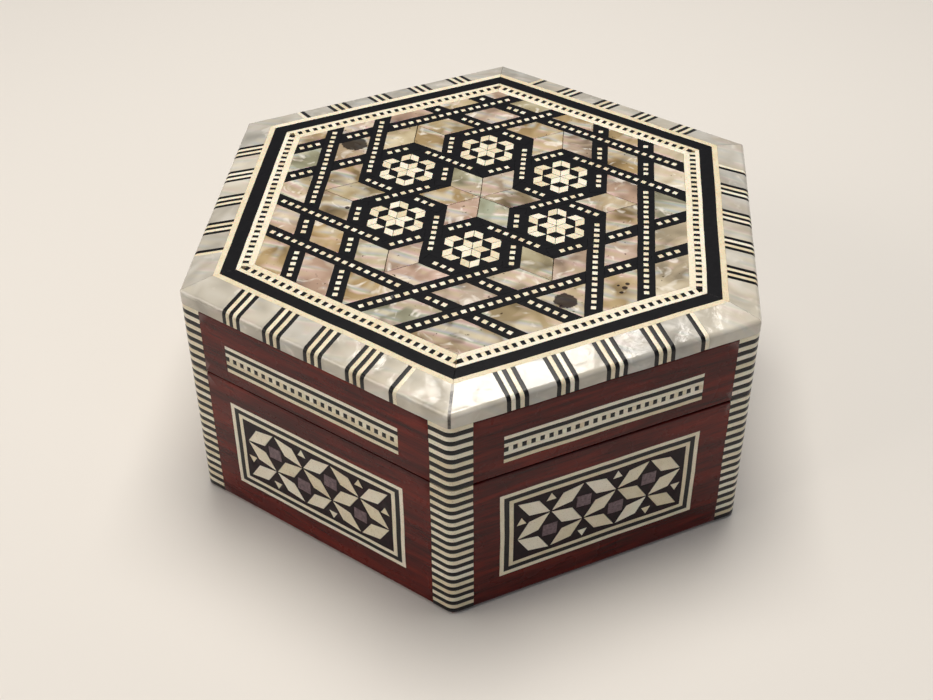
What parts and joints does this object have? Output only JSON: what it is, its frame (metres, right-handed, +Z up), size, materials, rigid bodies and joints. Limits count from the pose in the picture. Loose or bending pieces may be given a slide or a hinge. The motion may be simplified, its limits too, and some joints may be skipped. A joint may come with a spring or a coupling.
{
  "type": "inlaid hexagonal jewellery box",
  "caption": "Hexagonal wooden box with a hinged lid, covered in star-pattern marquetry of mother-of-pearl, bone and ebony and lined with velvet.",
  "frame": {"origin": "centre of the underside, on the table", "axes": "+Z up, -Y to the front, +Y towards the hinges, corners of the hexagon on +X and -X"},
  "size_m": [0.1378, 0.1235, 0.057],
  "materials": {
    "mahogany": "varnished",
    "board": "sawn",
    "bone": "polished",
    "ebony": "polished",
    "rosewood": "polished",
    "panel_ground": "varnished",
    "mother_of_pearl": "polished",
    "velvet": "pile",
    "felt": "felted",
    "brass": "satin"
  },
  "bodies": {
    "body": {"base_felt": "felt", "base_board": "board", "body_wall_front": "mahogany", "body_wall_front_right": "mahogany", "body_wall_back_right": "mahogany", "body_wall_back": "mahogany", "body_wall_back_left": "mahogany", "body_wall_front_left": "mahogany", "body_corner_bone": "bone", "body_corner_ebony": "ebony", "panel_bone_lines": "bone", "panel_ebony_lines": "ebony", "panel_ground": "panel_ground", "panel_bone_lozenges": "bone", "panel_rosewood_bits": "rosewood", "panel_bone_triangles": "bone", "body_velvet_floor": "velvet", "body_velvet_walls": "velvet", "hinge_lower_leaves": "brass", "hinge_lower_screws": "brass", "hinge_pins": "brass"},
    "lid": {"lid_wall_front": "mahogany", "lid_wall_front_right": "mahogany", "lid_wall_back_right": "mahogany", "lid_wall_back": "mahogany", "lid_wall_back_left": "mahogany", "lid_wall_front_left": "mahogany", "lid_board": "board", "lid_corner_bone": "bone", "lid_corner_ebony": "ebony", "lid_strip_bone_lines": "bone", "lid_strip_ebony_lines": "ebony", "lid_strip_ebony_squares": "ebony", "lid_strip_bone_squares": "bone", "edging_pearl": "mother_of_pearl", "edging_bone_stripes": "bone", "edging_ebony_stripes": "ebony", "top_outer_bone_line": "bone", "top_ebony_band": "ebony", "top_middle_bone_line": "bone", "top_ebony_squares": "ebony", "top_bone_squares": "bone", "top_inner_bone_line": "bone", "field_dotted_strips": "ebony", "field_bone_dots": "bone", "field_pearl_tiles": "mother_of_pearl", "rosette_ground": "ebony", "rosette_bone_lozenges": "bone", "rosette_ebony_lozenges": "ebony", "lid_velvet_top": "velvet", "lid_velvet_walls": "velvet", "hinge_upper_leaves": "brass", "hinge_upper_screws": "brass"}
  },
  "joints": [
    {"name": "lid_hinge", "type": "hinge", "parent": "body", "child": "lid", "pos_m": [0, 0.0619, 0.03595], "axis": [-1, 0, 0], "range_deg": [0, 105]}
  ]
}
